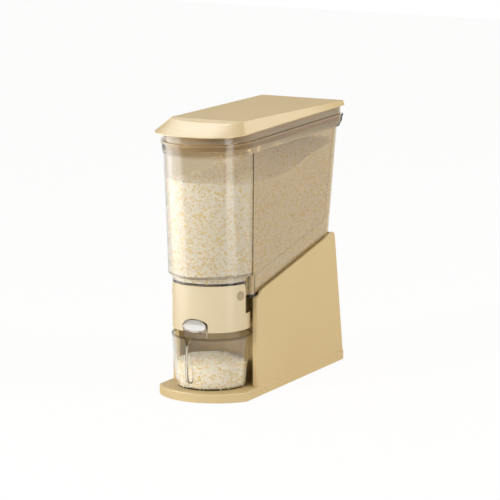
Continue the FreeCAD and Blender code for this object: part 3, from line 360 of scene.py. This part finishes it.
def cream_plastic(name, tones, rough):
    """Satin moulding: its sheen is as weak along the surface as it is straight on."""
    material, nodes, links, shader = start_material(name)
    links.new(add_tones(nodes, links, 9.0, *tones), shader.inputs["Base Color"])
    shader.inputs["Specular IOR Level"].default_value = 0.0
    shader.inputs["Roughness"].default_value = 0.6
    sheen = nodes.new("ShaderNodeBsdfAnisotropic")
    links.new(add_range(nodes, links, 40.0, low=rough - SHEEN_DRIFT, high=rough + SHEEN_DRIFT),
              sheen.inputs["Roughness"])
    grain = add_noise(nodes, links, 2600.0, detail=2.0)
    for layer in (shader, sheen):
        add_bump(nodes, links, layer, grain, strength=0.10, distance=0.0001)
    links.new(add_shader_mix(nodes, links, SHEEN_SHARE, shader.outputs[0], sheen.outputs[0]),
              nodes["Material Output"].inputs["Surface"])
    return material


def clear_plastic(name, tint, depth_tint, density):
    """Clear moulding: bends what is behind it, tints it, and lets the lamps through."""
    material, nodes, links, shader = start_material(name)
    shader.inputs["Transmission Weight"].default_value = 1.0
    shader.inputs["IOR"].default_value = CLEAR_IOR
    feed(links, shader.inputs["Base Color"], tint)
    links.new(add_range(nodes, links, 30.0, low=0.02, high=0.05), shader.inputs["Roughness"])
    waves = add_noise(nodes, links, 18.0, detail=1.0)
    add_bump(nodes, links, shader, waves, strength=0.06, distance=0.0006)
    clear = nodes.new("ShaderNodeBsdfTransparent")
    feed(links, clear.inputs["Color"], SHADOW_TINT)
    depth = nodes.new("ShaderNodeVolumeAbsorption")
    feed(links, depth.inputs["Color"], depth_tint)
    depth.inputs["Density"].default_value = density
    out = nodes["Material Output"]
    share = nodes.new("ShaderNodeLightPath").outputs["Is Shadow Ray"]
    links.new(add_shader_mix(nodes, links, share, shader.outputs[0], clear.outputs[0]), out.inputs["Surface"])
    links.new(depth.outputs[0], out.inputs["Volume"])
    return material


def tank_clear():
    """Clear moulding tinted with painted light and shade: a paler nose for its lit front, darker warmer flat
    sides for their shade, and a deep-toned collar for the shade under the lid.
    """
    material = clear_plastic("tank_clear", SHADED_SIDE_TINT, TANK_DEPTH_TINT, density=22.0)
    nodes, links = material.node_tree.nodes, material.node_tree.links
    # Painted light at the nose fading to painted shade on the sides, then painted shade at the collar under
    # the lid
    walls = add_fade(nodes, links, "Y", NOSE_LIGHT_FADE_Y, LIT_NOSE_TINT, SHADED_SIDE_TINT)
    links.new(add_fade(nodes, links, "Z", COLLAR_SHADE_FADE_Z, walls, COLLAR_SHADE_TINT),
              nodes["Principled BSDF"].inputs["Base Color"])
    return material


def cup_clear():
    """Clear moulding with painted shade: a deeper tint at the cup's rim stands in for the dark line along the
    rim's edge.
    """
    material = clear_plastic("cup_clear", CUP_TINT, CUP_DEPTH_TINT, density=30.0)
    nodes, links = material.node_tree.nodes, material.node_tree.links
    # Painted shade at the rim: the tint deepens over the top few millimetres
    links.new(add_fade(nodes, links, "Z", CUP_RIM_SHADE_Z, CUP_TINT, CUP_RIM_SHADE_TINT),
              nodes["Principled BSDF"].inputs["Base Color"])
    return material


def darker(color, share):
    return tuple(share * c for c in color)


def glossy_plastic(name, color):
    material, nodes, links, shader = start_material(name)
    links.new(add_tones(nodes, links, 25.0, darker(color, 0.94), color), shader.inputs["Base Color"])
    links.new(add_range(nodes, links, 80.0, low=0.08, high=0.14), shader.inputs["Roughness"])
    return material


def soft_rubber(name, color, rough):
    material, nodes, links, shader = start_material(name)
    links.new(add_tones(nodes, links, 60.0, darker(color, 0.85), color), shader.inputs["Base Color"])
    shader.inputs["Roughness"].default_value = rough
    add_bump(nodes, links, shader, add_noise(nodes, links, 900.0), strength=0.2, distance=0.0001)
    return material


def zinc_steel():
    material, nodes, links, shader = start_material("zinc_steel")
    feed(links, shader.inputs["Base Color"], ZINC_GREY)
    shader.inputs["Metallic"].default_value = 1.0
    links.new(add_range(nodes, links, 400.0, low=0.22, high=0.36), shader.inputs["Roughness"])
    return material


def rice_grain():
    """The loose grains: most are white, some are yellow."""
    material, nodes, links, shader = start_material("rice_grain")
    island = nodes.new("ShaderNodeNewGeometry").outputs["Random Per Island"]
    stops = [(0.0, RICE_WHITE), (0.5, (0.94, 0.92, 0.87)), (0.74, RICE_WHITE),
             (0.80, (0.85, 0.66, 0.24)), (1.0, (0.89, 0.75, 0.38))]
    links.new(add_ramp(nodes, links, island, stops), shader.inputs["Base Color"])
    shader.inputs["Roughness"].default_value = 0.42
    shader.inputs["Subsurface Weight"].default_value = 0.25
    shader.inputs["Subsurface Radius"].default_value = (0.0012, 0.0010, 0.0006)
    add_bump(nodes, links, shader, add_noise(nodes, links, 1500.0), strength=0.15, distance=0.0001)
    return material


def rice_bed():
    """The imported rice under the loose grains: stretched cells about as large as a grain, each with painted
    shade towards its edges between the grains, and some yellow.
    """
    material, nodes, links, shader = start_material("rice_bed")
    place = nodes.new("ShaderNodeTexCoord")
    stretch = nodes.new("ShaderNodeMapping")
    stretch.inputs["Scale"].default_value = (1.0, 0.55, 1.25)
    stretch.inputs["Rotation"].default_value = (0.5, 0.2, 0.3)
    links.new(place.outputs["Object"], stretch.inputs["Vector"])
    cells = nodes.new("ShaderNodeTexVoronoi")
    cells.inputs["Scale"].default_value = 330.0
    links.new(stretch.outputs["Vector"], cells.inputs["Vector"])
    # Painted shade: each cell is white in the middle and darker towards its edges, where the grains meet
    shaded_cells = add_ramp(nodes, links, cells.outputs["Distance"],
                    [(0.0, RICE_WHITE), (0.5, (0.96, 0.94, 0.88)), (1.0, (0.90, 0.83, 0.66))])
    pick = nodes.new("ShaderNodeSeparateColor")
    links.new(cells.outputs["Color"], pick.inputs[0])
    fleck = add_ramp(nodes, links, pick.outputs[0], [(0.74, WHITE), (0.82, (0.93, 0.78, 0.42))])
    links.new(add_color_mix(nodes, links, 1.0, shaded_cells, fleck, blend_type="MULTIPLY"),
              shader.inputs["Base Color"])
    shader.inputs["Roughness"].default_value = 0.6
    add_bump(nodes, links, shader, cells.outputs["Distance"], strength=-0.3, distance=0.0008)
    return material


def dress(material, *names):
    for name in names:
        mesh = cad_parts[name].data
        mesh.materials.clear()
        mesh.materials.append(material)


def dress_nodes():
    """Every node except the rice in the tank."""
    dress(cream_plastic("cream_plastic", CREAM, rough=0.32), "base_plate", "pedestal_shell", "lid_shell")
    # The cover's paler cream is painted light on the same moulding
    dress(cream_plastic("cream_cover_painted_light", LIT_COVER_CREAM, rough=0.32), "outlet_cover")
    dress(cream_plastic("cream_plug", PLUG_CREAM, rough=0.40), "lid_plug")
    dress(tank_clear(), "tank")
    # The rim's darker tint is painted shade for the gap under the lid
    dress(clear_plastic("rim_clear_painted_shade", RIM_SHADE_TINT, TANK_DEPTH_TINT, density=10.0), "tank_rim")
    dress(cup_clear(), "measuring_cup")
    dress(clear_plastic("button_clear", CUP_TINT, CUP_DEPTH_TINT, density=30.0), "press_button", "shutter")
    dress(glossy_plastic("pale_gloss", BUTTON_GREY), "button_cap")
    dress(glossy_plastic("pin_cream", PIN_CREAM), "pivot_pin_left", "pivot_pin_right")
    dress(soft_rubber("silicone", SILICONE_CREAM, rough=0.5), "lid_gasket", "tank_pad_front_left",
          "tank_pad_front_right", "tank_pad_rear_left", "tank_pad_rear_right")
    dress(soft_rubber("foot_rubber", FOOT_BLACK, rough=0.7), "foot_nose", "foot_front_left",
          "foot_front_right", "foot_rear_left", "foot_rear_right")
    dress(zinc_steel(), "base_screws", "cover_screws", "return_spring_left", "return_spring_right")


# ---- Rice ----
def between(first, second, share):
    return first + (second - first) * share


def closed_mesh(name, verts, faces, material, body):
    mesh = bpy.data.meshes.new(name)
    mesh.from_pydata([tuple(v) for v in verts], [], faces)
    mesh.materials.append(material)
    mesh.polygons.foreach_set("use_smooth", [True] * len(mesh.polygons))
    piece = bpy.data.objects.new(name, mesh)
    bpy.context.scene.collection.objects.link(piece)
    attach(piece, body)
    return piece


def grain_shape(rng):
    """Corners of one grain along X, in metres: a tip, two rings and the other tip."""
    length = MM * rng.uniform(*GRAIN_LENGTH)
    width = MM * rng.uniform(*GRAIN_WIDTH)
    bend = MM * rng.uniform(*GRAIN_BEND)
    points = [(-length / 2, 0, 0)]
    for place, share in GRAIN_RINGS:
        for k in range(GRAIN_SIDES):
            a = 2 * math.pi * k / GRAIN_SIDES
            y = width / 2 * share * math.cos(a) + bend
            z = width / 2 * GRAIN_FLATNESS * share * math.sin(a)
            points.append((place * length, y, z))
    points.append((length / 2, -bend, 0))
    return points


def grain_faces():
    """Faces between the corners of grain_shape: a fan at each tip and a band between the rings."""
    first_ring, second_ring, far_tip = 1, 1 + GRAIN_SIDES, 1 + 2 * GRAIN_SIDES
    sides = [(k, (k + 1) % GRAIN_SIDES) for k in range(GRAIN_SIDES)]
    return ([(0, first_ring + n, first_ring + k) for k, n in sides]
            + [(first_ring + k, first_ring + n, second_ring + n, second_ring + k) for k, n in sides]
            + [(far_tip, second_ring + k, second_ring + n) for k, n in sides])


GRAIN_FACES = grain_faces()


def add_grain(verts, faces, rng, place, normal, tip):
    """Adds a grain that lies along a surface, turned at random and a little tipped."""
    n = Vector(normal).normalized()
    guide = Vector((0.3, 0.2, 1.0)) if abs(n.z) < 0.9 else Vector((1.0, 0.2, 0.1))   # never along n
    side = n.cross(guide).normalized()
    up = n.cross(side)
    turn = rng.uniform(0, 2 * math.pi)
    along = side * math.cos(turn) + up * math.sin(turn)
    along = (along + n * rng.uniform(-tip, tip)).normalized()
    across = n.cross(along).normalized()
    out = along.cross(across)
    first = len(verts)
    for x, y, z in grain_shape(rng):
        verts.append(Vector(place) + along * x + across * y + out * z)
    faces.extend(tuple(first + i for i in face) for face in GRAIN_FACES)


def grains_over(name, base, material, body, wanted, seed, mm2_per_grain, tip, lift):
    """Loose grains over the triangles of a mesh whose normal is wanted, one for each bit of area."""
    rng = random.Random(seed)
    base.data.calc_loop_triangles()
    turn = base.matrix_world.to_3x3()
    verts, faces = [], []
    for tri in base.data.loop_triangles:
        corners = [base.matrix_world @ base.data.vertices[i].co for i in tri.vertices]
        normal = (turn @ tri.normal).normalized()
        if not wanted(normal):
            continue
        want = tri.area / (mm2_per_grain * MM * MM)
        for _ in range(int(want) + (rng.random() < want - int(want))):
            u, v = rng.random(), rng.random()
            if u + v > 1:
                u, v = 1 - u, 1 - v
            place = corners[0] + (corners[1] - corners[0]) * u + (corners[2] - corners[0]) * v
            add_grain(verts, faces, rng, place + normal * (lift * MM), normal, tip)
    return closed_mesh(name, verts, faces, material, body)


def cup_rice_radius(z):
    """Outer radius of the rice in the cup, which follows the cup's cone."""
    outer = between(CUP_FOOT_RADIUS, CUP_RIM_RADIUS, (z - CUP_Z) / CUP_HEIGHT)
    return outer - CUP_WALL - RICE_WALL_GAP


def ripple_at(place, height, pace, start):
    return height * math.sin(pace * place + start)


def cup_heap_at(x, y):
    """Height of the rice in the cup: a heap with a faint ripple."""
    r = math.hypot(x, y - OUTLET_Y) / CUP_HEAP_RADIUS
    ripple = ripple_at(x, *RIPPLE_ACROSS) + ripple_at(y, *RIPPLE_ALONG)
    return CUP_LEVEL + CUP_CROWN * (1 - r * r) + ripple * (1 - r * r)


def cup_rice(material):
    """Bulk body of the rice in the cup: its wall, its heaped top and its flat underside."""
    floor_z = CUP_Z + CUP_FLOOR + RICE_FLOOR_GAP
    verts, faces = [], []

    def add_corner(x, y, z):
        verts.append(Vector((x, y, z)) * MM)

    def add_ring(radius, height_at):
        """Adds a ring of corners and returns the number of the first."""
        first = len(verts)
        for i in range(CUP_RICE_SIDES):
            a = 2 * math.pi * i / CUP_RICE_SIDES
            x, y = radius * math.cos(a), OUTLET_Y + radius * math.sin(a)
            add_corner(x, y, height_at(x, y))
        return first

    def add_band(first, second, flip):
        for i in range(CUP_RICE_SIDES):
            k = (i + 1) % CUP_RICE_SIDES
            quad = (first + i, first + k, second + k, second + i)
            faces.append(quad[::-1] if flip else quad)

    def add_cap(edge, edge_z, height_at, flip):
        """Closes a ring of the wall with smaller rings and a corner in the middle."""
        for ring in range(1, CUP_RICE_RINGS):
            inner = add_ring(cup_rice_radius(edge_z) * (1 - ring / CUP_RICE_RINGS), height_at)
            add_band(edge, inner, flip)
            edge = inner
        centre = len(verts)
        add_corner(0, OUTLET_Y, height_at(0, OUTLET_Y))
        for i in range(CUP_RICE_SIDES):
            tri = (edge + i, edge + (i + 1) % CUP_RICE_SIDES, centre)
            faces.append(tri[::-1] if flip else tri)

    edges = []
    for row in range(CUP_RICE_ROWS + 1):
        z = between(floor_z, CUP_LEVEL, row / CUP_RICE_ROWS)
        edges.append(add_ring(cup_rice_radius(z), lambda x, y: z))
    for lower, upper in zip(edges, edges[1:]):
        add_band(lower, upper, flip=False)
    add_cap(edges[-1], CUP_LEVEL, cup_heap_at, flip=False)
    add_cap(edges[0], floor_z, lambda x, y: floor_z, flip=True)
    return closed_mesh("rice_in_cup", verts, faces, material, "cup")


def make_rice():
    """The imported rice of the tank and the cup, with loose grains over both."""
    bed = rice_bed()
    grain = rice_grain()
    dress(bed, "rice_fill")
    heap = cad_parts["rice_fill"]
    grains_over("rice_grains_at_walls", heap, grain, "tank_unit", lambda n: abs(n.z) < STEEP,
                seed=7, mm2_per_grain=15.0, tip=0.05, lift=-0.1)
    grains_over("rice_grains_on_top", heap, grain, "tank_unit", lambda n: n.z > STEEP,
                seed=8, mm2_per_grain=15.0, tip=0.35, lift=0.1)
    measure = cup_rice(bed)
    grains_over("rice_grains_in_cup", measure, grain, "cup", lambda n: n.z > -STEEP,
                seed=9, mm2_per_grain=14.0, tip=0.25, lift=0.0)


bpy.context.scene.view_settings.view_transform = "Standard"
make_camera()
make_world()
make_floor()
make_lamps()
dress_nodes()
make_rice()
